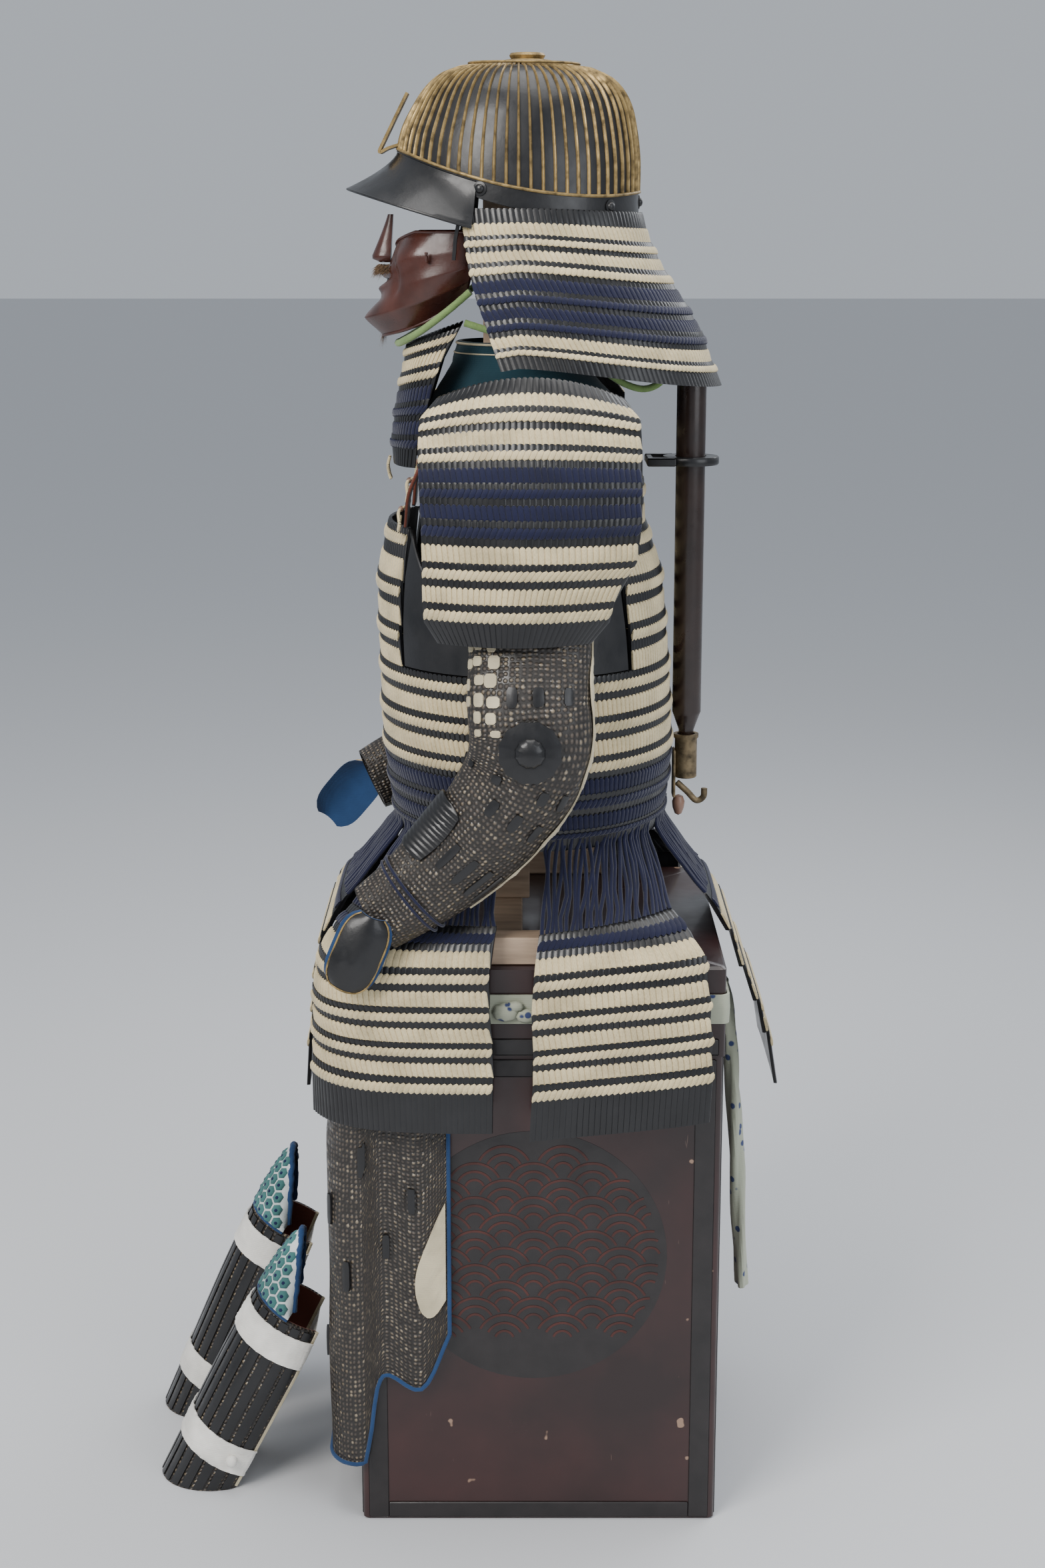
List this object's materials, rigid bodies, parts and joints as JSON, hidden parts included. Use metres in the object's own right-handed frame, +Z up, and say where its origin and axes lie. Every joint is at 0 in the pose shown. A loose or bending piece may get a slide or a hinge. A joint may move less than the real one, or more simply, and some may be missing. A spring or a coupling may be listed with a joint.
{
  "type": "samurai armour on a wooden frame and its storage chest",
  "caption": "Laced lamellar armour with ridged helmet, half mask, sleeves and tassets, on a frame on its lacquered chest, shin guards leaning beside it.",
  "frame": {"origin": "centre of the storage chest's base, on the floor", "axes": "+Z up; the armour faces -Y; +X is the wearer's left"},
  "size_m": [0.5689, 0.7275, 1.5925],
  "materials": {
    "black_lacquer": "gloss",
    "cream_lacing": "braided silk, faded",
    "navy_lacing": "braided silk",
    "gilt": "aged",
    "red_lacquer": "gloss",
    "mail": "worn",
    "green_cord": "braided silk",
    "teal_cloth": "woven",
    "chest_lacquer": "worn lacquer",
    "stand_wood": "planed",
    "white_cotton": "woven",
    "bronze": "aged",
    "hair": "fur",
    "printed_cloth": "woven",
    "lining_cloth": "woven, worn",
    "edging_cloth": "woven",
    "leather": "matt"
  },
  "bodies": {
    "root": {"chest_body": "chest_lacquer", "chest_lid": "chest_lacquer", "stand_frame": "stand_wood", "front_body": "cream_lacing", "back_body": "cream_lacing", "front_chest": "cream_lacing", "back_chest": "cream_lacing", "side_plate_left": "black_lacquer", "side_plate_right": "black_lacquer", "shoulder_strap_left": "black_lacquer", "shoulder_strap_right": "black_lacquer", "collar": "teal_cloth", "tasset_front": "cream_lacing", "tasset_left_front": "cream_lacing", "tasset_left_back": "cream_lacing", "tasset_back": "cream_lacing", "tasset_right_back": "cream_lacing", "tasset_right_front": "cream_lacing", "tasset_lacing": "navy_lacing", "shoulder_guard_left": "cream_lacing", "shoulder_guard_right": "cream_lacing", "sleeve_left": "mail", "sleeve_right": "mail", "elbow_disc_left": "black_lacquer", "elbow_disc_right": "black_lacquer", "forearm_plate_left": "black_lacquer", "forearm_plate_right": "black_lacquer", "hand_plate_left": "black_lacquer", "hand_plate_right": "black_lacquer", "helmet_bowl": "black_lacquer", "crown_fitting": "gilt", "helmet_visor": "black_lacquer", "crest_holder": "gilt", "neck_guard_1": "black_lacquer", "neck_guard_2": "cream_lacing", "neck_guard_3": "cream_lacing", "neck_guard_4": "navy_lacing", "neck_guard_5": "navy_lacing", "neck_guard_6": "cream_lacing", "mask_face": "red_lacquer", "mask_nose": "red_lacquer", "mask_moustache": "hair", "throat_guard": "cream_lacing", "chin_cord": "green_cord", "neck_cord": "green_cord", "thigh_guard_left": "mail", "thigh_guard_right": "mail", "thigh_guard_belt": "printed_cloth", "belt_end": "printed_cloth", "shin_guard_left": "black_lacquer", "shin_guard_right": "black_lacquer", "knee_flap_left": "teal_cloth", "knee_flap_right": "teal_cloth", "shin_strap_left_lower": "white_cotton", "shin_strap_left_upper": "white_cotton", "shin_strap_right_lower": "white_cotton", "shin_strap_right_upper": "white_cotton", "banner_pole": "chest_lacquer", "banner_bracket": "black_lacquer", "banner_socket": "bronze"}
  },
  "joints": []
}
